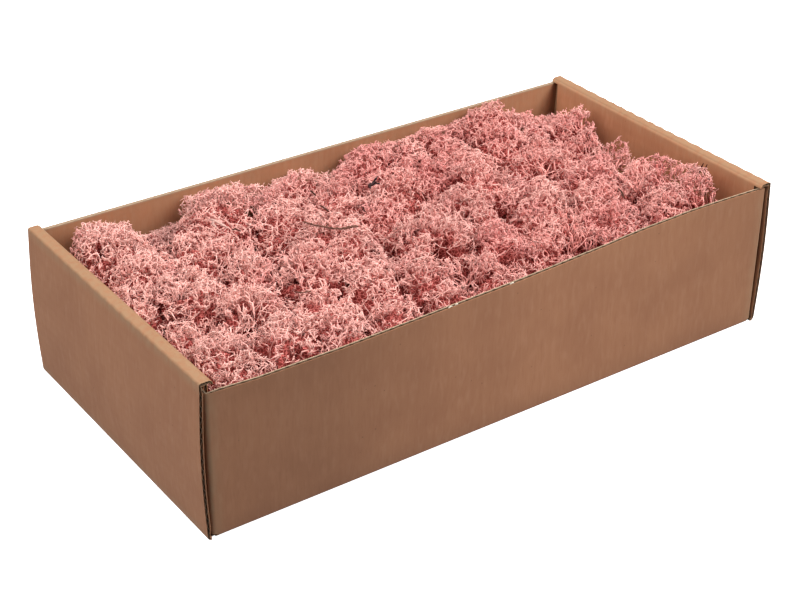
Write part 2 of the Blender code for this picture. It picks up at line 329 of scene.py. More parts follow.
# The studio: how bright the room and the floor are, and each light's place, target, size and watts
SKY_STRENGTH = 0.12
FLOOR_GLOW = 0.95
FLOOR_HALF = 4.0
LIGHTS = {
    "front_light": ((0.95, -0.95, 1.35), (0.1, 0.0, 0.07), 1.2, 50.0),
    "left_light": ((-1.3, 0.0, 1.4), (0.0, 0.0, 0.07), 1.9, 40.0),
    "top_light": ((0.2, 0.3, 2.4), (0.0, 0.0, 0.07), 1.2, 24.0),
}

# Colours: red, green, blue, linear
KRAFT_RED = (0.292, 0.129, 0.065)
KRAFT_YELLOW = (0.328, 0.149, 0.0755)
KRAFT_LIGHT = (0.386, 0.190, 0.107)
KRAFT_DARK = (0.229, 0.094, 0.0445)
ROLL_PALE = (0.295, 0.168, 0.0915)
CUT_EDGE = (0.29, 0.205, 0.135)
# The fluted medium's colours, painted dark as the shade in the gap between the liners
MEDIUM_PAINTED_SHADE_DARK = (0.08, 0.05, 0.03)
MEDIUM_PAINTED_SHADE_PALE = (0.14, 0.088, 0.052)
SPECK = (0.10, 0.05, 0.03)

# Painted light: how much brighter the liner is painted inside the long walls and the ends, and painted
# shade and light along the front wall's outer face: X and brightness
WALL_PAINTED_LIGHT = 1.2
END_PAINTED_LIGHT = 1.46
FRONT_PAINTED_LIGHT = ((-200, 0.80), (-130, 0.82), (-50, 1.05), (20, 1.09), (110, 1.0), (200, 0.98))

# The lichen's stems and tips in each slot, its dyes, and the painted shadows on its bed and its deep
# branches
MOSS_COLOURS = {
    "moss_rose": ((0.89, 0.31, 0.27), (0.81, 0.385, 0.34)),
    "moss_deep": ((0.88, 0.28, 0.25), (0.80, 0.35, 0.315)),
    "moss_dusty": ((0.89, 0.34, 0.295), (0.81, 0.42, 0.37)),
    "moss_dusk": ((0.28, 0.14, 0.14), (0.44, 0.26, 0.26)),
}
PALE_DYE_AND_PAINTED_LIGHT = (0.94, 0.53, 0.465)
STRONG_DYE = (0.82, 0.33, 0.31)
BED_NET = (0.60, 0.17, 0.15)
BED_SHADOW = (0.19, 0.035, 0.03)
DEEP_PAINTED_SHADE = (0.46, 0.11, 0.10)
BED_REACH = -0.2
STAIN = (0.80, 0.33, 0.16)
STAIN_PLACE = (-0.0470, -0.0875, 0.098)
STAIN_RADIUS = 7 * MM
DEBRIS_COLOURS = {
    "bark": (0.17, 0.075, 0.055),
    "dark_bark": (0.09, 0.035, 0.025),
    "grey_husk": (0.07, 0.04, 0.04),
    "pale_chip": (0.74, 0.44, 0.38),
    "pale_stem": (0.66, 0.38, 0.33),
    "red_stem": (0.45, 0.12, 0.11),
    "paper_fibre": (0.78, 0.68, 0.55),
}


# Shared helpers

def add_piece(name, points, faces, materials):
    """A smooth mesh object from arrays of points and triangles or quads."""
    mesh = bpy.data.meshes.new(name)
    faces = np.asarray(faces, dtype=np.int32)
    mesh.vertices.add(len(points))
    mesh.vertices.foreach_set("co", np.asarray(points, dtype=np.float32).ravel())
    mesh.loops.add(faces.size)
    mesh.loops.foreach_set("vertex_index", faces.ravel())
    mesh.polygons.add(len(faces))
    mesh.polygons.foreach_set("loop_start", np.arange(0, faces.size, faces.shape[1], dtype=np.int32))
    for material in materials:
        mesh.materials.append(material)
    mesh.update(calc_edges=True)
    mesh.shade_smooth()
    built = bpy.data.objects.new(name, mesh)
    bpy.context.scene.collection.objects.link(built)
    return built


class Gathered:
    """A mesh put together from parts, with the numbers that its points carry."""

    def __init__(self):
        self.points = []
        self.faces = []
        self.values = {}
        self.count = 0

    def add(self, points, faces, **values):
        """Joins a part, with each value given for all of its points or for each one."""
        self.points.append(points)
        self.faces.append(faces + self.count)
        self.count += len(points)
        for name, value in values.items():
            self.values.setdefault(name, []).append(np.broadcast_to(value, len(points)))

    def build(self, name, materials):
        """The mesh object, whose materials read the values by name."""
        piece = add_piece(name, np.concatenate(self.points), np.concatenate(self.faces), materials)
        for value_name, parts in self.values.items():
            attribute = piece.data.attributes.new(value_name, "FLOAT", "POINT")
            attribute.data.foreach_set("value", np.concatenate(parts).astype(np.float32))
        return piece


def ripple(points, wavelength, amount, seed):
    """Smooth, seeded shifts of points, about amount long and wavelength apart."""
    rng = np.random.default_rng(seed)
    shifts = np.zeros_like(points)
    for _ in range(5):
        wave = rng.normal(size=3)
        wave *= 2 * math.pi / wavelength / np.linalg.norm(wave)
        way = rng.normal(size=3)
        way *= amount / 2 / np.linalg.norm(way)
        shifts += np.sin(points @ wave + rng.uniform(0, 6.3))[:, None] * way
    return shifts


def at_height(places, height):
    """Points over places in plan, at one height or at one for each."""
    return np.column_stack((places[:, :2], np.broadcast_to(height, len(places))))


# Materials

class Shading:
    """A Principled material, and the pattern nodes that feed it."""

    def __init__(self, name, roughness, specular=0.25):
        self.material = bpy.data.materials.new(name)
        self.material.use_nodes = True
        self.tree = self.material.node_tree
        self.shader = self.tree.nodes["Principled BSDF"]
        self.shader.inputs["Roughness"].default_value = roughness
        self.shader.inputs["Specular IOR Level"].default_value = specular
        self.place = self.add("TexCoord").outputs["Object"]

    def add(self, kind, inputs=None, **settings):
        """A node with its settings, and its inputs: numbers, colours or other nodes' outputs."""
        node = self.tree.nodes.new("ShaderNode" + kind)
        for name, value in settings.items():
            setattr(node, name, value)
        for key, value in (inputs or {}).items():
            socket = node.inputs[key]
            if isinstance(value, bpy.types.NodeSocket):
                self.tree.links.new(value, socket)
            else:
                socket.default_value = (*value, 1.0) if socket.type == "RGBA" else value
        return node

    def noise(self, scale, detail=2.0, stretch=(1, 1, 1)):
        """A noise pattern's value, finer along the axes that stretch makes longer."""
        mapping = self.add("Mapping", {"Vector": self.place, "Scale": stretch})
        inputs = {"Vector": mapping.outputs["Vector"], "Scale": scale, "Detail": detail}
        return self.add("TexNoise", inputs).outputs["Fac"]

    def spread(self, value, low, high, new_low=0.0, new_high=1.0):
        """A value spread from one range to another, clamped."""
        inputs = {"Value": value, "From Min": low, "From Max": high, "To Min": new_low, "To Max": new_high}
        return self.add("MapRange", inputs).outputs["Result"]

    def mix(self, share, first, second, blend="MIX"):
        """Two colours mixed by a share."""
        inputs = {0: share, 6: first, 7: second}
        return self.add("Mix", inputs, data_type="RGBA", blend_type=blend).outputs[2]

    def combine(self, operation, first, second=0.0):
        """Arithmetic on two values."""
        return self.add("Math", {0: first, 1: second}, operation=operation).outputs[0]

    def carried(self, name):
        """A value that the piece's points carry."""
        return self.add("Attribute", attribute_name=name).outputs["Fac"]

    def finish(self, colour, relief=None, depth=0.0):
        """The material with its colour, and with relief of a depth where it has some."""
        self.tree.links.new(colour, self.shader.inputs["Base Color"])
        if relief is not None:
            bump = self.add("Bump", {"Height": relief, "Distance": depth, "Strength": 1.0})
            self.tree.links.new(bump.outputs["Normal"], self.shader.inputs["Normal"])
        return self.material


def make_board_material():
    """Brown kraft liner: cloudy, fibrous, with dark specks, the flutes just showing as faint bands of
    painted shade, and with the painted light that its panels carry.
    """
    nodes = Shading("kraft_liner", 0.82)
    colour = nodes.mix(nodes.spread(nodes.noise(28, 4.0), 0.36, 0.64), KRAFT_RED, KRAFT_YELLOW)
    fibres = nodes.noise(900, 3.0, (1.0, 1.0, 0.12))
    colour = nodes.mix(nodes.spread(fibres, 0.5, 0.78, 0.0, 0.35), colour, KRAFT_DARK)
    pale = nodes.noise(300, 2.0, (1.0, 1.0, 0.3))
    colour = nodes.mix(nodes.spread(pale, 0.5, 0.8, 0.0, 0.4), colour, KRAFT_LIGHT)
    specks = nodes.add("TexVoronoi", {"Vector": nodes.place, "Scale": 90})
    colour = nodes.mix(nodes.spread(specks.outputs["Distance"], 0.05, 0.03, 0.0, 0.5), colour, SPECK)
    wave = nodes.combine("SINE", nodes.combine("MULTIPLY", nodes.carried("flute"), 2 * math.pi))
    # Painted shade: faint dark bands along the flutes, where their ridges would shade the liner.
    colour = nodes.mix(nodes.spread(wave, -1.0, 1.0, 0.0, 0.08), colour, KRAFT_DARK)
    worn = nodes.combine("MULTIPLY", nodes.carried("worn"), nodes.spread(pale, 0.3, 0.6, 0.3, 1.0))
    colour = nodes.mix(worn, colour, ROLL_PALE)
    colour = nodes.mix(nodes.carried("cut"), colour, CUT_EDGE)
    # Painted light: the colour is scaled by the brightness painted on each part of a panel, standing in
    # for light and shade.
    toned = nodes.add("VectorMath", {0: colour, "Scale": nodes.carried("tone")}, operation="SCALE")
    relief = nodes.combine("ADD", fibres, nodes.combine("MULTIPLY", wave, 0.25))
    return nodes.finish(toned.outputs[0], relief, 0.035 * MM)


def make_medium_material():
    """The wavy paper between the liners: painted dark as the shade in the gap between them, and rougher.
    """
    nodes = Shading("fluted_medium", 0.9)
    clouds = nodes.spread(nodes.noise(400, 3.0), 0.35, 0.65)
    return nodes.finish(nodes.mix(clouds, MEDIUM_PAINTED_SHADE_DARK, MEDIUM_PAINTED_SHADE_PALE), clouds, 0.05 * MM)


def make_moss_material(slot):
    """Dyed lichen: pale tips on deeper stems, with patches where the dye took less or more, painted light
    towards the left end, and painted shade on what lies deep.
    """
    nodes = Shading(slot, 0.9, 0.0)
    reach = nodes.carried("reach")
    colour = nodes.mix(reach, *MOSS_COLOURS[slot])
    sides = nodes.add("SeparateXYZ", {"Vector": nodes.place})
    # Painted light: the lichen is made paler towards the tray's left end, where more light falls.
    colour = nodes.mix(nodes.spread(sides.outputs["X"], 0.02, -0.14, 0.0, 0.85), colour, PALE_DYE_AND_PAINTED_LIGHT)
    tips = nodes.spread(reach, 0.0, 1.0, 0.15, 1.0)
    for scale, low, high, dye in ((38, 0.44, 0.66, PALE_DYE_AND_PAINTED_LIGHT), (60, 0.54, 0.72, STRONG_DYE)):
        patches = nodes.spread(nodes.noise(scale), low, high, 0.0, 0.6)
        colour = nodes.mix(nodes.combine("MULTIPLY", patches, tips), colour, dye)
    fine = nodes.spread(nodes.noise(500), 0.3, 0.7, 0.95, 1.02)
    shade = nodes.combine("MULTIPLY", fine, nodes.spread(nodes.carried("tint"), 0.0, 1.0, 0.92, 1.03))
    grey = nodes.add("CombineColor", {channel: shade for channel in range(3)})
    colour = nodes.mix(1.0, colour, grey.outputs["Color"], "MULTIPLY")
    # Painted shade: the bed is coloured as a net of branches over painted shadow in its pores.
    net = nodes.add("TexVoronoi", {"Vector": nodes.place, "Scale": 460}, feature="DISTANCE_TO_EDGE")
    bed = nodes.mix(nodes.spread(net.outputs["Distance"], 0.03, 0.11), BED_NET, BED_SHADOW)
    colour = nodes.mix(nodes.combine("LESS_THAN", reach, 0.0), colour, bed)
    apart = nodes.add("VectorMath", {0: nodes.place, 1: STAIN_PLACE}, operation="DISTANCE")
    stain = nodes.spread(apart.outputs["Value"], STAIN_RADIUS, 0.3 * STAIN_RADIUS, 0.0, 0.6)
    colour = nodes.mix(stain, colour, STAIN)
    # Painted shade: the colour darkens the further a point lies below the lichen's general level.
    shade = nodes.mix(nodes.carried("sunk"), (1.0, 1.0, 1.0), DEEP_PAINTED_SHADE)
    return nodes.finish(nodes.mix(1.0, colour, shade, "MULTIPLY"))


def make_debris_material(name, colour):
    """Bark, twigs and chips caught in the lichen."""
    nodes = Shading(name, 1.0, 0.03)
    grain = nodes.spread(nodes.noise(900, 3.0), 0.35, 0.65)
    dark = tuple(0.55 * part for part in colour)
    return nodes.finish(nodes.mix(grain, dark, colour), grain, 0.08 * MM)


# The tray

def front_lean(x, z):
    """How far the front wall leans in at a place on it: out on the left, in on the right."""
    half = LENGTH / 2
    left = np.clip((x + half) / (FRONT_CROSSES_AT + half), 0, 1)
    right = np.clip((x - FRONT_CROSSES_AT) / (half - FRONT_CROSSES_AT), 0, 1)
    lean = FRONT_LEANS_IN * np.sin(math.pi * right) - FRONT_LEANS_OUT * np.sin(math.pi * left)
    return lean * z / HEIGHT


def belly(z, depth):
    """How far a panel held at its top and foot bows out at a height."""
    return depth * np.sin(math.pi * np.clip(z, 0, HEIGHT) / HEIGHT)


def follow(start, heading, runs, spacing):
    """Samples a path of straight runs and bends to the right.

    Each run is its length and the degrees it turns. Gives distances, places and right normals.
    """
    place = np.array(start)
    angle = math.radians(heading)
    travelled = 0.0
    samples = [(travelled, *place, math.sin(angle), -math.cos(angle))]
    for length, degrees in runs:
        turn = math.radians(degrees)
        count = max(1, round(length / spacing), math.ceil(turn / BEND_STEP))
        half_turn = turn / count / 2
        chord = length / count * (math.sin(half_turn) / half_turn if turn else 1.0)
        for _ in range(count):
            middle = angle - half_turn
            place = place + chord * np.array((math.cos(middle), math.sin(middle)))
            angle -= 2 * half_turn
            travelled += length / count
            samples.append((travelled, *place, math.sin(angle), -math.cos(angle)))
    samples = np.array(samples)
    return samples[:, 0], samples[:, 1:3], samples[:, 3:5]


def quarter(radius):
    """A bend of a quarter turn whose outer face has this radius."""
    return (radius * math.pi / 2, 90)


def crease_places(runs):
    """The distance along a path of the middle of each bend."""
    ends = np.cumsum([length for length, _ in runs])
    return [end - length / 2 for end, (length, degrees) in zip(ends, runs) if degrees]


def near_creases(distances, creases):
    """One on a crease, falling to nothing a few millimetres away."""
    apart = np.abs(distances[:, None] - creases).min(axis=1)
    return np.exp(-(apart / CREASE_REACH) ** 2)


def between(values):
    """The middles between neighbouring values."""
    return (values[1:] + values[:-1]) / 2


def sheet_faces(rows, columns, is_board):
    """The quads of a closed sheet between two grids of points, where there is board."""
    i, j = np.nonzero(is_board)
    corner = i * columns + j
    outer = np.stack((corner, corner + 1, corner + columns + 1, corner + columns), axis=1)
    edges = {edge for face in outer.tolist() for edge in zip(face, face[1:] + face[:1])}
    a, b = np.array([(a, b) for a, b in sorted(edges) if (b, a) not in edges]).T
    shift = rows * columns
    return np.concatenate((outer, outer[:, ::-1] + shift, np.stack((b, a, a + shift, b + shift), axis=1)))


def layer_depths(layer, distances, crush):
    """The depths of a paper's two faces at each distance along a path, squashed at creases."""
    middle = BOARD / 2 + (BOARD / 2 - LINER - MEDIUM / 2) * np.sin(2 * math.pi * distances / FLUTE_PITCH)
    faces = ((0.0, LINER), (middle - MEDIUM / 2, middle + MEDIUM / 2), (BOARD - LINER, BOARD))
    return [depth * (1 - CREASE_CRUSH * crush) for depth in faces[layer]]


class Panel(Gathered):
    """One panel's three sheets of paper: outer liner, medium and inner liner."""

    def __init__(self, name, turned):
        super().__init__()
        self.name = name
        self.sides = (-1, -1, 1) if turned else (1, 1, 1)
        self.papers = []

    def add_sheet(self, layer, grids, is_board, **values):
        """A closed sheet between two grids of points, with values over the grid."""
        shape = grids[0].shape[:2]
        faces = sheet_faces(*shape, is_board)
        used, renumbered = np.unique(faces, return_inverse=True)
        points = np.concatenate([grid.reshape(-1, 3) for grid in grids])[used] * self.sides
        carried = {name: np.tile(np.broadcast_to(value, shape).ravel(), 2)[used]
                   for name, value in values.items()}
        self.add(points, renumbered.reshape(faces.shape), **carried)
        self.papers.append(np.full(len(faces), layer == 1, dtype=np.int32))

    def finish(self, materials):
        """The finished piece, riding in place of its node."""
        piece = self.build(self.name + "_board", materials)
        piece.data.polygons.foreach_set("material_index", np.concatenate(self.papers))
        piece.data.set_sharp_from_angle(angle=math.radians(40))
        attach(piece, "root")
        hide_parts(self.name)


def wall_points(path, foot, depth, turned):
    """A long wall's points: its path in plan swept up its foot's path, at given depths."""
    depths = depth[:, None]
    x, inward = (path[1] + path[2] * depths).T[:, :, None]
    tuck, z = foot[1].T[:, None] + foot[2].T[:, None] * depths
    if turned:
        shift = -belly(z, BACK_BOW) * np.clip(1 - (inward - BOARD) / BOARD, 0, 1)
    else:
        z = z * (1 - np.interp(x / MM, *zip(*RIM_DROP)) * MM / WALL_TOP)
        shift = front_lean(x, z)
    return np.stack(np.broadcast_arrays(x, inward + (tuck - depths) + shift - WIDTH / 2, z), axis=2)


def build_long_wall(name, turned, materials):
    """A long wall, creased at its foot, with a tab folded in at each end."""
    tab_face = LENGTH / 2 - BOARD - GAP
    main = 2 * (tab_face - FOLD_RADIUS)
    tab = TAB_LENGTH - FOLD_RADIUS
    runs = [(tab, 0), quarter(FOLD_RADIUS), (main, 0), quarter(FOLD_RADIUS), (tab, 0)]
    foot_runs = [quarter(FOLD_RADIUS), (WALL_TOP - FOLD_RADIUS - EDGE_WEAR, 0), (EDGE_WEAR, 0)]
    first = tab + FOLD_RADIUS * math.pi / 2
    panel = Panel(name, turned)
    for layer, rise_step in enumerate((WALL_STEP, 2 * WALL_STEP, WALL_STEP)):
        path = follow((tab_face, TAB_LENGTH), -90, runs, PAPER_STEPS[layer])
        distances, plan, normals = path
        foot = follow((FOLD_RADIUS, 0.0), 180, foot_runs, rise_step)
        worn = near_creases(distances, crease_places(runs))
        grids = [wall_points(path, foot, depth, turned) for depth in layer_depths(layer, distances, worn)]
        along = between(distances)[:, None]
        is_board = (along > first) & (along < first + main) | (between(foot[1][:, 1]) > FOLD_RADIUS)
        tone = np.ones(len(distances))
        cut = np.zeros(len(foot[0]))
        # Painted shade and light: the front wall's outer face is darker towards its left end and a little
        # brighter in the middle.
        if layer == 0 and not turned:
            tone = np.interp(plan[:, 0] / MM, *zip(*FRONT_PAINTED_LIGHT))
        if layer == 2:
            grids[0][:, -1, :2] -= (BACK_EDGE_SPREAD if turned else EDGE_SPREAD) * normals
            # The inner liner of the long walls is made paler all over.
            worn = np.maximum(worn, INNER_PALING)
            # Painted light: the inner liner is brightened, as if lit by light bouncing off the lichen.
            tone *= WALL_PAINTED_LIGHT
            cut[-1] = 1.0
        panel.add_sheet(layer, grids, is_board, flute=distances[:, None] / FLUTE_PITCH,
                        worn=worn[:, None], tone=tone[:, None], cut=cut)
    panel.finish(materials)


def scallops(y):
    """How far the roll's crushed edge drops along an end: uneven ribs where the flutes gave."""
    phase = y / SCALLOP_PITCH + 0.3 * np.sin(y / (23 * MM) + 1) + 0.12 * np.sin(y / (7.3 * MM))
    ribs = 0.5 + 0.5 * np.cos(2 * math.pi * phase)
    return SCALLOP_DEPTH * ribs * (0.7 + 0.3 * np.sin(y / (31 * MM) + 2))


def end_points(path, columns, depth, drop):
    """An end's points: its profile swept along the tray's width, at given depths."""
    x, z = (path[1] + path[2] * depth[:, None]).T[:, :, None]
    bow = np.where(x < ROLL_WIDTH / 2, belly(z, END_BOW), 0.0)
    return np.stack(np.broadcast_arrays(x - bow - LENGTH / 2, columns, z - drop), axis=2)


def build_end(name, turned, materials):
    """An end: up from the floor, over the top and down inside as a narrower panel."""
    runs = [quarter(FOLD_RADIUS), (HEIGHT - FOLD_RADIUS - ROLL_CREASE, 0),
            quarter(ROLL_CREASE), (ROLL_WIDTH - ROLL_CREASE - FOLD_RADIUS, 0),
            quarter(FOLD_RADIUS), (HEIGHT - FOLD_RADIUS - BOARD - GAP, 0)]
    creases = crease_places(runs)
    roll_ends = sum(length for length, _ in runs[:-1])
    edge = WIDTH / 2 - BOARD - CORNER_SLIT
    panel = Panel(name, turned)
    for layer, column in enumerate((ROLL_COLUMN, 2 * WALL_STEP, 2 * WALL_STEP)):
        path = follow((FOLD_RADIUS, 0.0), 180, runs, PAPER_STEPS[layer])
        distances = path[0]
        middle = np.linspace(edge, -edge, round(2 * edge / column) + 1)
        side = np.linspace(WIDTH / 2, edge, max(1, round((WIDTH / 2 - edge) / column)) + 1)
        columns = np.concatenate((side[:-1], middle, -side[-2::-1]))
        crush = near_creases(distances, creases)
        ribs = np.full(len(columns), SCALLOP_DEPTH) if layer else scallops(columns)
        drop = np.exp(-(((distances - creases[1]) / SCALLOP_REACH) ** 2))[:, None] * ribs
        grids = [end_points(path, columns, depth, drop) for depth in layer_depths(layer, distances, crush)]
        is_board = (between(distances)[:, None] < roll_ends) | (np.abs(between(columns)) < edge)
        on_roll = (distances > creases[1] - FOLD_RADIUS) & (distances < creases[2])
        # Painted light: the end's inner panel is brightened, as if lit by light bouncing off the lichen.
        tone = np.where(distances > creases[2], END_PAINTED_LIGHT, 1.0)
        panel.add_sheet(layer, grids, is_board, flute=distances[:, None] / FLUTE_PITCH,
                        worn=np.maximum(crush, on_roll)[:, None], tone=tone[:, None], cut=0.0)
    panel.finish(materials)


def build_floor_board(materials):
    """The flat floor between the creases."""
    half_x = LENGTH / 2 - FOLD_RADIUS
    half_y = WIDTH / 2 - FOLD_RADIUS
    y = np.linspace(-half_y, half_y, 5)
    panel = Panel("tray_floor", False)
    for layer, spacing in enumerate(PAPER_STEPS):
        x = np.linspace(half_x, -half_x, round(2 * half_x / spacing) + 1)[:, None]
        grids = [np.stack(np.broadcast_arrays(x, y, depth), axis=2)
                 for depth in layer_depths(layer, half_x - x, np.zeros_like(x))]
        is_board = np.ones((len(x) - 1, len(y) - 1), dtype=bool)
        panel.add_sheet(layer, grids, is_board, flute=(half_x - x) / FLUTE_PITCH, worn=0.0,
                        tone=WALL_PAINTED_LIGHT if layer == 2 else 1.0, cut=0.0)
    panel.finish(materials)


def build_tray():
    """The folded tray, panel by panel."""
    materials = (make_board_material(), make_medium_material())
    build_floor_board(materials)
    build_long_wall("tray_front_wall", False, materials)
    build_long_wall("tray_back_wall", True, materials)
    build_end("tray_left_end", False, materials)
    build_end("tray_right_end", True, materials)


# The lichen's surface

def blurred(values, reach):
    """A grid of values, each the mean of those around it."""
    weights = np.ones(2 * reach + 1) / (2 * reach + 1)
    for axis in (0, 1):
        padding = [(reach, reach) if i == axis else (0, 0) for i in (0, 1)]
        padded = np.pad(values, padding, mode="edge")
        values = np.apply_along_axis(np.convolve, axis, padded, weights, mode="valid")
    return values


def inland(x, y, fade):
    """Nothing at the bed's sides, rising to one at a distance in from them."""
    return np.clip(np.minimum(BED_HALF_X - np.abs(x), BED_HALF_Y - np.abs(y)) / fade, 0, 1)


def shaken_rows(spacing, seed, shake):
    """Staggered rows of places over the bed, in plan, each moved a little."""
    rng = np.random.default_rng(seed)
    rows = round(2 * BED_HALF_Y / (spacing * math.sqrt(0.75)))
    columns = round(2 * BED_HALF_X / spacing)
    row, column = np.meshgrid(np.arange(rows + 1), np.arange(columns + 1), indexing="ij")
    x = -BED_HALF_X + 2 * BED_HALF_X * (column + 0.5 * (row % 2) - 0.25) / columns
    y = -BED_HALF_Y + 2 * BED_HALF_Y * row / rows
    places = np.stack((x.ravel(), y.ravel()), axis=1)
    places += rng.uniform(-shake, shake, places.shape) * spacing
    return np.clip(places, (-BED_HALF_X, -BED_HALF_Y), (BED_HALF_X, BED_HALF_Y))


def crown_surface(names):
    """A search tree over the tufts' solids, and the tuft that each face belongs to."""
    points = []
    faces = []
    owners = []
    for owner, name in enumerate(names):
        mesh = frame["nodes"][name].data
        faces += [[len(points) + i for i in polygon.vertices] for polygon in mesh.polygons]
        points += [vertex.co.copy() for vertex in mesh.vertices]
        owners += [owner] * len(mesh.polygons)
    return BVHTree.FromPolygons(points, faces), owners


def hollow_at(places):
    """How deep a dark hollow lies at each place in plan, from 0 to 1."""
    depth = np.zeros(len(places))
    warp = ripple(at_height(places, 0.0), HOLLOW_WAVE, HOLLOW_WARP, HOLLOW_SEED)
    x, y = (places[:, :2] + warp[:, :2]).T / MM
    for middle_x, middle_y, radius in (*HOLLOWS, *((*foot, FAN_HOLLOW) for foot in FANS)):
        apart = np.hypot(x - middle_x, y - middle_y) / radius
        depth = np.maximum(depth, 1.0 - apart ** 2)
    return depth


def edge_room(places):
    """How far each place in plan lies inside the lichen's outline at the tray's ends."""
    x, y = places[:, 0], places[:, 1] / MM
    right = np.interp(y, *zip(*RIGHT_EDGE)) * MM
    left = np.interp(y, *zip(*LEFT_EDGE)) * MM
    return np.minimum(right - x, x - left)


def edge_fall(places):
    """One on the lichen's outline, falling to nothing inside it and growing outside it."""
    return np.clip(1 - edge_room(places) / EDGE_ROUND, 0, EDGE_DEEPEST)


def front_strip(places):
    """One at the front wall, falling to nothing a little way in."""
    return np.clip(1 - (places[:, 1] + BED_HALF_Y) / FRONT_STRIP, 0, 1)


class Surface:
    """How high the lichen stands over each place: the tufts' crowns, with rounded heads on them."""

    def __init__(self, names):
        self.tree, self.owners = crown_surface(names)
        self.shape = tuple(round(2 * half / GRID_STEP) + 1 for half in (BED_HALF_X, BED_HALF_Y))
        places = np.indices(self.shape).reshape(2, -1).T * GRID_STEP - (BED_HALF_X, BED_HALF_Y)
        heights = np.array([self.crown(x, y)[0] for x, y in places]).reshape(self.shape)
        self.covered = blurred((heights > LOW_CROWN).astype(float), 1)
        heights = np.where(heights > LOW_CROWN, heights, 0.0)
        while (heights == 0).any():
            known = blurred((heights > 0).astype(float), 1)
            heights = np.where(heights > 0, heights, blurred(heights, 1) / np.maximum(known, 0.01))
        wide = blurred(blurred(heights, FURROW_REACH), FURROW_REACH)
        humps = ripple(at_height(places, 0.0), HUMP_WIDTH, HUMP_HEIGHT, HUMP_SEED)[:, 2]
        swell = FURROW_FILL * np.maximum(0.0, wide - heights) + humps.reshape(self.shape)
        self.heights = heights + swell * inland(*places.T, WALL_FADE).reshape(self.shape)
        self.general = blurred(blurred(self.heights, SHADE_REACH), SHADE_REACH)
        self.heads = shaken_rows(HEAD_SPACING, HEAD_SEED, HEAD_SHAKE)
        rng = np.random.default_rng(LIFT_SEED)
        self.lift = rng.uniform(-HEAD_STAGGER, HEAD_STAGGER, len(self.heads))
        self.lift *= inland(*self.heads.T, LIFT_FADE)
        self.tufts = [self.tuft_near(x, y) for x, y in self.heads]
        self.search = KDTree(len(self.heads))
        for i, (x, y) in enumerate(self.heads):
            self.search.insert((x, y, 0.0), i)
        self.search.balance()

    def crown(self, x, y):
        """The crown's height at a place, and the number of its tuft, or nothing."""
        place, _, face, _ = self.tree.ray_cast(Vector((x, y, RAY_HEIGHT)), Vector((0, 0, -1)))
        return (0.0, None) if place is None else (place.z, self.owners[face])

    def tuft_near(self, x, y):
        """The tuft at a place in plan, or the nearest one beside it."""
        for reach in range(8):
            for turn in range(8):
                angle = math.pi * turn / 4
                _, tuft = self.crown(x + reach * MM * math.cos(angle), y + reach * MM * math.sin(angle))
                if tuft is not None:
                    return tuft
        return None

    def cells(self, places, margin):
        """Where places in plan lie on the grid, kept a margin inside its far sides."""
        cells = (places[:, :2] + (BED_HALF_X, BED_HALF_Y)) / GRID_STEP
        return np.clip(cells, 0, np.array(self.shape) - margin).T

    def level(self, places, heights):
        """The height at places in plan, between a grid's own."""
        column, row = self.cells(places, 1.001)
        i, j = column.astype(int), row.astype(int)
        u, v = column - i, row - j
        near = heights[i, j] * (1 - v) + heights[i, j + 1] * v
        far = heights[i + 1, j] * (1 - v) + heights[i + 1, j + 1] * v
        return near * (1 - u) + far * u

    def cover(self, places):
        """One where a crown lies under a place, falling to nothing past its edge."""
        column, row = self.cells(places, 1).round().astype(int)
        return np.clip(2.2 * self.covered[column, row] - 0.6, 0, 1)

    def nearest_heads(self, places):
        """The head that each place belongs to, and how far it is from that head's middle."""
        found = [self.search.find((x, y, 0.0)) for x, y in places]
        return np.array([head for _, head, _ in found]), np.array([apart for _, _, apart in found])

    def height(self, places, head, apart):
        """The height of the branches' tips at places in plan."""
        dome = np.sqrt(np.maximum(DOME_FOOT, 1 - (apart / HEAD_RADIUS) ** 2))
        bulge = HEAD_HEIGHT * (dome - DOME_LEVEL) + self.lift[head]
        dip = FRONT_DIP * front_strip(places)
        x, y = places.T / MM
        lift = np.interp(y, *zip(*RIGHT_LIFT)) * np.interp(x, RIGHT_STRIP, (0, 1)) * MM
        inside = self.level(places, self.heights) + bulge - dip + lift
        back = (np.interp(x, *zip(*BACK_HEIGHT)) - BACK_FALL * np.maximum(0.0, y - BACK_STRIP[1])) * MM
        share = np.interp(y, BACK_STRIP, (0, 1))
        fall = HOLLOW_DROP * hollow_at(places) + EDGE_DROP * edge_fall(places) ** 2
        return inside * (1 - share) + back * share - TIP_SINK - fall

    def sunk(self, points):
        """How far points lie below the lichen's general level, from 0 to 1."""
        below = self.level(points, self.general) - SHADE_START - points[:, 2]
        return np.clip(below / SHADE_DEPTH, 0, 1)


# The lichen's branches

def unit(vectors):
    """Vectors made one long."""
    return vectors / np.maximum(np.linalg.norm(vectors, axis=-1, keepdims=True), 1e-9)


def across(directions):
    """Two unit vectors square to each direction and to each other."""
    guide = np.where(np.abs(directions[:, :1]) < 0.8, (1.0, 0.0, 0.0), (0.0, 1.0, 0.0))
    first = unit(np.cross(directions, guide))
    return first, np.cross(directions, first)


def spokes(first, second, shift=0.0):
    """The directions of a three-sided branch's corners, or of its sides if shifted by a half."""
    angles = 2 * math.pi * (np.arange(SIDES) + shift) / SIDES
    return np.cos(angles)[None, :, None] * first[:, None] + np.sin(angles)[None, :, None] * second[:, None]


def rings(corners, *levels):
    """Rings of corners one after another, each level being its middles and radius."""
    return np.concatenate([places[:, None] + radius * corners for places, radius in levels], axis=1)


def ring_sides(low, high, sides=SIDES):
    """The triangles between two rings whose first corners have these numbers."""
    faces = []
    for k in range(sides):
        following = (k + 1) % sides
        faces += [(low + k, low + following, high + following), (low + k, high + following, high + k)]
    return faces


ROD = [(2, 1, 0), *ring_sides(0, 3), (3, 4, 5)]
BENT_ROD = [(2, 1, 0), *ring_sides(0, 3), *ring_sides(3, 6), (6, 7, 8)]
PRONG = [(2, 1, 0), *ring_sides(0, 3), (3, 4, 6), (4, 5, 6), (5, 3, 6)]
SPUR = [(2, 1, 0), (0, 1, 3), (1, 2, 3), (2, 0, 3)]


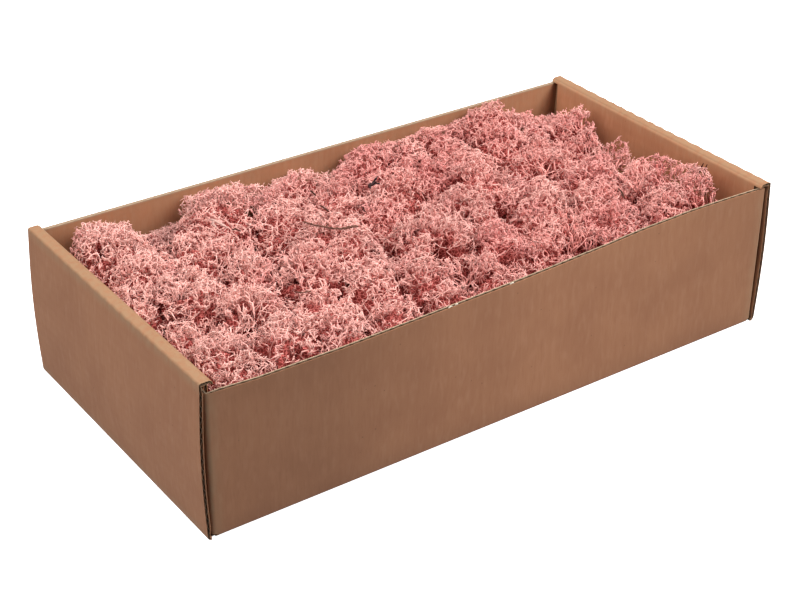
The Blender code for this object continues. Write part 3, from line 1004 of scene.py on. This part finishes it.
class Branches(Gathered):
    """A tuft's branches, gathered as closed three-sided shapes."""

    def __init__(self, rng):
        super().__init__()
        self.rng = rng
        self.shading = 1.0

    def join(self, points, pattern, reach, tint):
        """Joins shapes that share one pattern of triangles, and says how they are coloured."""
        count, size = points.shape[:2]
        faces = np.array(pattern) + size * np.arange(count)[:, None, None]
        self.add(points.reshape(-1, 3), faces.reshape(-1, 3), sunk=self.shading,
                 reach=np.broadcast_to(reach, (count, size)).ravel(), tint=np.repeat(tint, size))

    def add_stems(self, starts, ends, outward, radii, reaches, tint):
        """Bent branches with closed ends, each leaving the way that it came from."""
        length = np.linalg.norm(ends - starts, axis=1, keepdims=True)
        first, second = across(unit(ends - starts))
        sway = self.rng.normal(scale=STEM_SWAY, size=(2, len(starts), 1)) * length
        middles = (starts + ends) / 2 + STEM_CURL * length * outward + sway[0] * first + sway[1] * second
        levels = zip((starts, middles, ends), (radii[0], sum(radii) / 2, radii[1]))
        reach = np.repeat((reaches[0], sum(reaches) / 2, reaches[1]), SIDES)
        self.join(rings(spokes(first, second), *levels), BENT_ROD, reach, tint)

    def add_tips(self, starts, ends, radii, prong, reaches, tint):
        """Last branches, each with a few blunt prongs that reach out sideways from its end."""
        ways = unit(ends - starts)
        first, second = across(ways)
        points = rings(spokes(first, second), (starts, radii[0]), (ends, radii[1]))
        self.join(points, ROD, np.repeat(reaches, SIDES), tint)
        sides = spokes(first, second, 0.5).reshape(-1, 3)
        kept = self.rng.uniform(size=len(sides)) < PRONG_SHARE
        bases, ways, tint = (np.repeat(each, SIDES, axis=0)[kept] for each in (ends, ways, tint))
        self.add_prongs(bases, ways, sides[kept], radii[1], prong, reaches[1], tint)

    def add_prongs(self, bases, ways, sides, radius, length, reach, tint):
        """Short rods that lean to the side of the branch they end, and curl up a little."""
        count = len(bases)
        tilt = np.radians(self.rng.uniform(*PRONG_TILT, (count, 1)))
        lengths = length * self.rng.uniform(0.6, 1.4, (count, 1))
        heading = np.cos(tilt) * ways + np.sin(tilt) * sides
        feet = bases - 0.5 * radius * heading
        bend = bases + 0.65 * lengths * heading + self.rng.normal(scale=0.1, size=(count, 3)) * lengths
        ends = bases + lengths * (heading + PRONG_CURL * ways)
        points = rings(spokes(*across(heading)), (feet, radius), (bend, 0.85 * radius))
        self.join(np.concatenate((points, ends[:, None]), axis=1), PRONG, reach, tint)

    def add_web(self, tips, radius, reach, tint):
        """Thin rods that join each tip to the nearest ones of its head."""
        apart = np.linalg.norm(tips[:, None] - tips[None], axis=2)
        nearest = np.argsort(apart, axis=1)[:, 1:1 + WEB_LINKS]
        own = np.repeat(np.arange(len(tips)), nearest.shape[1])
        pairs = np.unique(np.sort(np.stack((own, nearest.ravel()), axis=1), axis=1), axis=0)
        a, b = pairs[apart[pairs[:, 0], pairs[:, 1]] < WEB_REACH].T
        corners = spokes(*across(unit(tips[b] - tips[a])))
        self.join(rings(corners, (tips[a], radius), (tips[b], radius)), ROD, reach, tint[a])

    def add_spurs(self, starts, ends, length, radius, reach, tint):
        """Short pointed side twigs somewhere along branches."""
        count = len(starts)
        ways = unit(ends - starts)
        first, second = across(ways)
        turn = self.rng.uniform(0, 2 * math.pi, (count, 1))
        side = np.cos(turn) * first + np.sin(turn) * second
        base = starts + (ends - starts) * self.rng.uniform(0.25, 0.85, (count, 1))
        lean = unit(side + ways * self.rng.uniform(0.2, 0.9, (count, 1)))
        apexes = base + lean * length * self.rng.uniform(0.6, 1.3, (count, 1))
        points = np.concatenate((rings(spokes(*across(lean)), (base, radius)), apexes[:, None]), axis=1)
        self.join(points, SPUR, reach, tint)


def gathered(rng, nodes, count):
    """Groups of neighbouring nodes: each group's middle, and the group of each node."""
    centres = nodes[rng.permutation(len(nodes))[:count]]
    for _ in range(2):
        group = np.linalg.norm(nodes[:, None] - centres[None], axis=2).argmin(axis=1)
        _, group = np.unique(group, return_inverse=True)
        sizes = np.bincount(group)[:, None]
        centres = np.stack([np.bincount(group, nodes[:, k]) for k in range(3)], axis=1) / sizes
    return centres, group


def grow_head(branches, habit, tips, root):
    """One head: its branches join two or three at a time from their tips down to its root."""
    rng = branches.rng
    tint = rng.uniform()
    nodes = tips
    stride = len(habit.steps) + 1
    for level, step in enumerate(habit.steps):
        parents, group = gathered(rng, nodes, max(1, round(len(nodes) / habit.forks[level])))
        inward = unit(root - parents)
        parents = parents + inward * step + rng.normal(scale=JOINT_SHAKE * step, size=parents.shape)
        starts = parents[group]
        radii = (habit.radii[level + 1], habit.radii[level])
        reaches = (1 - (level + 1) / stride, 1 - level / stride)
        shades = tint + rng.normal(scale=TINT_SHAKE, size=len(nodes))
        if level == 0:
            branches.add_tips(starts, nodes, radii, habit.prong, reaches, shades)
            branches.add_web(nodes, radii[1], reaches[1], shades)
        else:
            branches.add_stems(starts, nodes, -unit(root - starts), radii, reaches, shades)
            spurred = rng.uniform(size=len(nodes)) < SPUR_SHARE
            branches.add_spurs(starts[spurred], nodes[spurred], habit.prong, habit.radii[0],
                               reaches[1], shades[spurred])
        nodes = parents
    starts = np.repeat(root[None], len(nodes), axis=0)
    branches.add_stems(starts, nodes, -unit(root - nodes), (habit.radii[-1], habit.radii[-2]),
                       (0.0, reaches[0]), np.full(len(nodes), tint))


def grow_undergrowth(branches, ends, root):
    """Short twigs below the tips, which close the gaps between the branches."""
    outward = unit(ends - root)
    starts = ends - UNDER_LENGTH * outward
    shades = branches.rng.uniform(0.2, 0.8, len(ends))
    thin = 0.8 * UNDER_RADIUS
    branches.add_stems(starts, ends, outward, (UNDER_RADIUS, thin), UNDER_REACHES, shades)
    for _ in range(UNDER_SPURS):
        branches.add_spurs(starts, ends, UNDER_SPUR, thin, UNDER_REACHES[1], shades)


def grow_fan(branches, foot):
    """A fan of long stems that lean up against the head behind them and fork at their ends."""
    rng = branches.rng
    turn = np.radians(FAN_AZIMUTH + np.linspace(-FAN_SPREAD, FAN_SPREAD, FAN_STEMS)
                      + rng.uniform(-6, 6, FAN_STEMS))
    rise = np.radians(rng.uniform(*FAN_RISE, FAN_STEMS))
    turn += math.radians(20) * rng.normal()
    ways = np.stack((np.cos(turn) * np.cos(rise), np.sin(turn) * np.cos(rise), np.sin(rise)), axis=1)
    length = rng.uniform(*FAN_LENGTH, (FAN_STEMS, 1))
    starts = foot + rng.normal(scale=FAN_SHAKE, size=ways.shape)
    joints = starts + 0.6 * length * ways
    inside = edge_room(starts + length * ways) > FAN_MARGIN
    starts, joints, ways, length = (each[inside] for each in (starts, joints, ways, length))
    up = np.tile((0.0, 0.0, 1.0), (len(starts), 1))
    shades = rng.uniform(0.2, 0.9, len(starts))
    branches.shading = FAN_PAINTED_SHADE_SHARE
    branches.add_stems(starts, joints, up, FAN_RADII[:2], (0.3, 0.6), shades)
    joints, ways, shades, length, up = (np.repeat(each, 2, axis=0)
                                        for each in (joints, ways, shades, length, up))
    ends = joints + 0.4 * length * unit(ways + rng.normal(scale=0.35, size=ways.shape))
    branches.add_stems(joints, ends, up, FAN_RADII[1:3], (0.6, 0.8), shades)
    ends, ways, shades = (np.repeat(each, 3, axis=0) for each in (ends, ways, shades))
    tips = ends + FAN_TWIG * unit(ways + rng.normal(scale=0.8, size=ways.shape))
    branches.add_tips(ends, tips, FAN_RADII[2:], OPEN.prong, (0.8, 1.0), shades)
    branches.shading = 1.0


# The lichen's tufts

# Where a tuft's tips and the undergrowth end, the head of each, and how loose the tips stand
Growth = namedtuple("Growth", "tips head loose under under_head")


def pressed(values, low, high):
    """Values kept between two limits, but for a little of what lies past them."""
    held = np.clip(values, low, high)
    return held + PRESS * (values - held)


def keep_inside(points):
    """Presses points that stand past the tray's walls, or too high, back."""
    x, y, z = points.T
    half_x = LENGTH / 2 - ROLL_WIDTH - WALL_CLEARANCE
    half_y = WIDTH / 2 - BOARD - WALL_CLEARANCE
    over_rim = RIM_OVERHANG * np.clip((z - WALL_TOP) / MM, 0, 1)
    front = front_lean(x, z) - half_y - over_rim
    z = pressed(z, None, cad_high[2] - MM)
    return np.stack((pressed(x, -half_x, half_x), pressed(y, front, half_y), z), axis=1)


def packed_bed(name, seed):
    """The matted lower growth of a tuft, coloured as painted shade: its solid with the crown lowered and
    made lumpy.
    """
    made = bmesh.new()
    made.from_mesh(frame["nodes"][name].data)
    lowest = min(vertex.co.z for vertex in made.verts)
    bmesh.ops.triangulate(made, faces=made.faces)
    bmesh.ops.subdivide_edges(made, edges=made.edges, cuts=1, use_grid_fill=True)
    bmesh.ops.triangulate(made, faces=made.faces)
    points = np.array([vertex.co for vertex in made.verts])
    faces = np.array([[vertex.index for vertex in face.verts] for face in made.faces])
    made.free()
    shifts = ripple(points, *BED_LUMPS, seed)[:, 2] - BED_DEPTH
    shifts -= BED_HOLLOW * np.maximum(np.sqrt(hollow_at(points)), np.minimum(edge_fall(points), 1))
    is_crown = points[:, 2] > lowest + BED_DEPTH
    points[:, 2] = np.maximum(points[:, 2] + np.where(is_crown, shifts, 0.0), lowest)
    points[:, :2] += (points[:, :2].mean(axis=0) - points[:, :2]) * BED_SHRINK
    return points, faces


def openness(places):
    """How loosely the lichen has grown at places in plan, from 0 to 1."""
    patches = ripple(at_height(places, 0.0), OPEN_PATCH, 1.0, OPEN_SEED)[:, 2]
    return np.clip(OPEN_BASE + patches * OPEN_SWING, 0, 1)


def tip_places(surface):
    """Where tips end: their places, the head each belongs to, and how loose the growth is."""
    first, second = (shaken_rows(TIP_SPACING, seed, TIP_SHAKE) for seed in TIP_SEEDS)
    places = np.concatenate((first, second))
    head, apart = surface.nearest_heads(places)
    height = surface.height(places, head, apart)
    slope = np.zeros(len(places))
    for step in ((SLOPE_STEP, 0.0), (0.0, SLOPE_STEP)):
        ahead = surface.level(places + step, surface.heights) - surface.level(places, surface.heights)
        slope = np.hypot(slope, ahead / SLOPE_STEP)
    steeper = np.sqrt(1 + (slope + 0.5 * apart / HEAD_RADIUS) ** 2) - 1
    is_open = np.array([OPEN_SHARE if surface.tufts[i] + 1 in OPEN_TUFTS else 0.0 for i in head])
    loose = openness(places) * OPEN_WEIGHT + is_open + FRONT_OPEN * front_strip(places)
    loose = np.clip(loose, 0, 1)
    chance = np.where(np.arange(len(places)) < len(first), 1.0, steeper * (1 - SLOPE_THINNING * loose))
    thinning = (1 - LOOSE_THINNING * loose) * (1 - HOLLOW_THINNING * hollow_at(places))
    chance *= thinning * surface.cover(places)
    chance *= np.where(edge_room(places) > 0, 1.0, EDGE_THINNING)
    rng = np.random.default_rng(THINNING_SEED)
    kept = rng.uniform(size=len(places)) < chance
    height -= (TIP_STAGGER * (1 + LOOSE_STAGGER * loose)) * np.abs(rng.normal(size=len(places)))
    height += ripple(at_height(places, 0.0), CLUMP_WIDTH, CLUMP_HEIGHT, CLUMP_SEED)[:, 2]
    return at_height(places, height)[kept], head[kept], loose[kept]


def under_places(surface):
    """Where the undergrowth ends: its places, and the head each belongs to."""
    places = shaken_rows(UNDER_SPACING, UNDER_SEED, UNDER_SHAKE)
    head, apart = surface.nearest_heads(places)
    rng = np.random.default_rng(UNDER_DEPTH_SEED)
    height = surface.height(places, head, apart) - rng.uniform(*UNDER_DEPTH, len(places))
    kept = rng.uniform(size=len(places)) < surface.cover(places)
    return at_height(places, height)[kept], head[kept]


def head_root(middle, depth, name):
    """The root of a head, below its middle and towards a point deep under its tuft."""
    low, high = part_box(name)
    deep = np.array(((low.x + high.x) / 2, (low.y + high.y) / 2, high.z - AXIS_SINK))
    return middle - unit(middle - deep) * depth


def grow_branches(branches, surface, name, slot, growth):
    """A tuft's heads, and the undergrowth below them."""
    for i in np.unique(growth.head):
        own = growth.head == i
        tips = growth.tips[own]
        habit = WIRY if slot == "moss_dusk" else OPEN if growth.loose[own].mean() > 0.5 else DENSE
        root = head_root(np.array((*surface.heads[i], tips[:, 2].mean())), habit.depth, name)
        grow_head(branches, habit, tips, root)
        under = growth.under[growth.under_head == i]
        if len(under):
            grow_undergrowth(branches, under, root)


def settle(branches, surface, bed):
    """Bends a whole tuft, keeps it inside the tray, and paints shade on what lies deep."""
    points = np.concatenate(branches.points)
    for wavelength, amount, seed in WARPS:
        points += ripple(points, wavelength, amount, seed)
    points = keep_inside(points)
    sunk = surface.sunk(points) * np.concatenate(branches.values["sunk"])
    # Painted shade: the bed is darkened further in the hollows.
    sunk[bed] = np.clip(np.maximum(sunk[bed], HOLLOW_PAINTED_SHADE * hollow_at(points[bed])), 0, 1)
    branches.points = [points]
    branches.values["sunk"] = [sunk]


def build_tuft(number, name, slot, material, surface, growth):
    """One tuft's branches and bed, in place of its node."""
    branches = Branches(np.random.default_rng(TUFT_SEED + number))
    grow_branches(branches, surface, name, slot, growth)
    for foot in np.array(FANS) * MM:
        if surface.tuft_near(*foot) == number - 1:
            level = surface.level(foot[None], surface.heights)[0]
            grow_fan(branches, np.array((*foot, level - FAN_SINK)))
    points, faces = packed_bed(name, number)
    # The bed is a dark sheet whose colour is painted shade for the depths under the branches.
    branches.add(points, faces, reach=BED_REACH, tint=0.3, sunk=1.0)
    settle(branches, surface, slice(-len(points), None))
    piece = branches.build(name + "_sprigs", [material])
    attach(piece, "root")
    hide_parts(name)


def build_moss():
    """Every tuft, each in place of its own node."""
    names = sorted(name for name in frame["nodes"] if name.startswith("moss_tuft_"))
    slots = {part["node"]: part["material_slot"] for part in frame["record"]["subparts"]}
    materials = {slot: make_moss_material(slot) for slot in MOSS_COLOURS}
    surface = Surface(names)
    tips, head, loose = tip_places(surface)
    under, under_head = under_places(surface)
    owner = np.array(surface.tufts)[head]
    for i, name in enumerate(names):
        own = owner == i
        growth = Growth(tips[own], head[own], loose[own], under, under_head)
        build_tuft(i + 1, name, slots[name], materials[slots[name]], surface, growth)


# The scraps caught in the lichen

def rounded(path):
    """A smooth path through a few given points."""
    given = np.array(path, dtype=float) * MM
    given = np.concatenate((2 * given[:1] - given[1:2], given, 2 * given[-1:] - given[-2:-1]))
    t = np.linspace(0, 1, SCRAP_STEPS, endpoint=False)[:, None]
    runs = []
    for a, b, c, d in zip(given, given[1:], given[2:], given[3:]):
        bend = 2 * a - 5 * b + 4 * c - d
        swing = 3 * b - a - 3 * c + d
        runs.append(0.5 * (2 * b + (c - a) * t + bend * t ** 2 + swing * t ** 3))
    return np.concatenate((*runs, given[-2:-1]))


def strand(radius, flat, path, rng):
    """A closed, uneven, tapering strand along a path: its points and triangles."""
    places = rounded(path)
    count = len(places)
    ways = unit(np.gradient(places, axis=0))
    first = unit(np.cross(ways, (0.25, 0.15, 0.95)))
    second = np.cross(ways, first)
    taper = 1 - 0.6 * np.abs(np.linspace(-1, 1, count)) ** 4
    radii = radius * MM * taper[:, None] * (1 + SCRAP_ROUGHNESS * rng.normal(size=(count, SCRAP_SIDES)))
    angles = 2 * math.pi * np.arange(SCRAP_SIDES) / SCRAP_SIDES
    across_first = (radii * np.cos(angles))[:, :, None] * first[:, None]
    across_second = (flat * radii * np.sin(angles))[:, :, None] * second[:, None]
    shell = (places[:, None] + across_first + across_second).reshape(-1, 3)
    ends = (places[0] - 0.3 * radius * MM * ways[0], places[-1] + 0.3 * radius * MM * ways[-1])
    last = len(shell) - SCRAP_SIDES
    faces = []
    for ring in range(0, last, SCRAP_SIDES):
        faces += ring_sides(ring, ring + SCRAP_SIDES, SCRAP_SIDES)
    for k in range(SCRAP_SIDES):
        following = (k + 1) % SCRAP_SIDES
        faces += [(following, k, len(shell)), (last + k, last + following, len(shell) + 1)]
    return np.concatenate((shell, ends)), np.array(faces)


def build_scraps():
    """Every scrap of bark, husk and stem, riding the clump."""
    materials = {name: make_debris_material(name, colour) for name, colour in DEBRIS_COLOURS.items()}
    for i, scrap in enumerate(SCRAPS):
        rng = np.random.default_rng(SCRAP_SEED + i)
        made = Gathered()
        for radius, flat, path in scrap.strands:
            made.add(*strand(radius, flat, path, rng))
        piece = made.build(scrap.name, [materials[scrap.finish]])
        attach(piece, "root")


# The view

def make_camera():
    """The camera at the photographed view."""
    data = bpy.data.cameras.new("camera")
    data.lens = CAMERA_LENS
    data.clip_start = 0.01
    camera = bpy.data.objects.new("camera", data)
    turn = Matrix.Translation(CAMERA_TARGET)
    for degrees, axis in ((CAMERA_AZIMUTH, "Z"), (90 - CAMERA_ELEVATION, "X"), (CAMERA_ROLL, "Z")):
        turn = turn @ Matrix.Rotation(math.radians(degrees), 4, axis)
    camera.matrix_world = turn @ Matrix.Translation((0, 0, CAMERA_DISTANCE))
    bpy.context.scene.collection.objects.link(camera)
    bpy.context.scene.camera = camera


def make_floor():
    """A white floor, lit through so that it stays blank like the photographed ground."""
    material = bpy.data.materials.new("floor")
    material.use_nodes = True
    inputs = material.node_tree.nodes["Principled BSDF"].inputs
    inputs["Base Color"].default_value = (0.8, 0.8, 0.8, 1.0)
    inputs["Roughness"].default_value = 1.0
    inputs["Emission Color"].default_value = (1.0, 1.0, 1.0, 1.0)
    inputs["Emission Strength"].default_value = FLOOR_GLOW
    signs = ((-1, -1), (1, -1), (1, 1), (-1, 1))
    corners = [(x * FLOOR_HALF, y * FLOOR_HALF, 0.0) for x, y in signs]
    floor = add_piece("floor", corners, [(0, 1, 2, 3)], [material])
    floor.visible_diffuse = False


def add_light(name, place, target, size, energy):
    """A large soft light that shines from a place at a target."""
    data = bpy.data.lights.new(name, "AREA")
    data.shape = "SQUARE"
    data.size = size
    data.energy = energy
    light = bpy.data.objects.new(name, data)
    light.location = place
    light.rotation_euler = (Vector(target) - Vector(place)).to_track_quat("-Z", "Y").to_euler()
    light.visible_camera = False
    bpy.context.scene.collection.objects.link(light)


def make_studio():
    """A dim white room, with soft light from high in front of the tray, its far left and above."""
    world = bpy.data.worlds.new("studio")
    world.use_nodes = True
    background = world.node_tree.nodes["Background"]
    background.inputs["Color"].default_value = (1.0, 1.0, 1.0, 1.0)
    background.inputs["Strength"].default_value = SKY_STRENGTH
    bpy.context.scene.world = world
    bpy.context.scene.view_settings.view_transform = "Standard"
    for name, settings in LIGHTS.items():
        add_light(name, *settings)


make_camera()
make_studio()
make_floor()
build_tray()
build_moss()
build_scraps()
